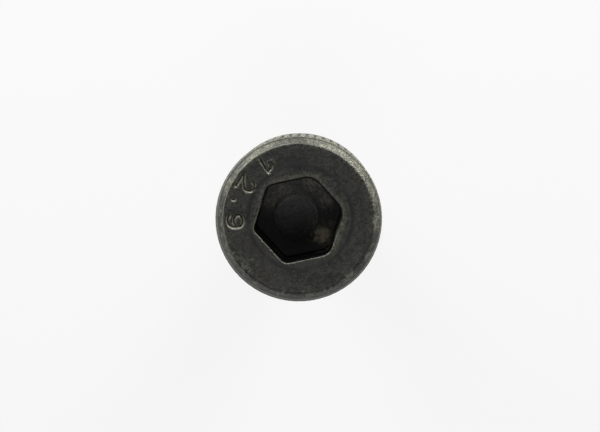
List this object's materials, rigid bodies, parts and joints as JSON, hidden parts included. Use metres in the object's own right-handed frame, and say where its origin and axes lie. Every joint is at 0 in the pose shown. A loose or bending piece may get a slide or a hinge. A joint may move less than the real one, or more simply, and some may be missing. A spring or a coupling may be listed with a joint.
{
  "type": "socket head cap screw",
  "caption": "Black socket head cap screw with a knurled cylindrical head, a hexagon socket for a key, and a metric thread along its short shank, to clamp parts together.",
  "frame": {"origin": "on the screw's axis, in the plane of the bearing face under the head", "axes": "+Z along the axis from the threaded end towards the head; two corners of the hexagon socket lie on the X axis"},
  "size_m": [0.0129, 0.0128, 0.024],
  "materials": {
    "black_steel": "black oxide on quenched alloy steel, satin and lightly oiled"
  },
  "bodies": {
    "root": {"screw": "black_steel"}
  },
  "joints": []
}
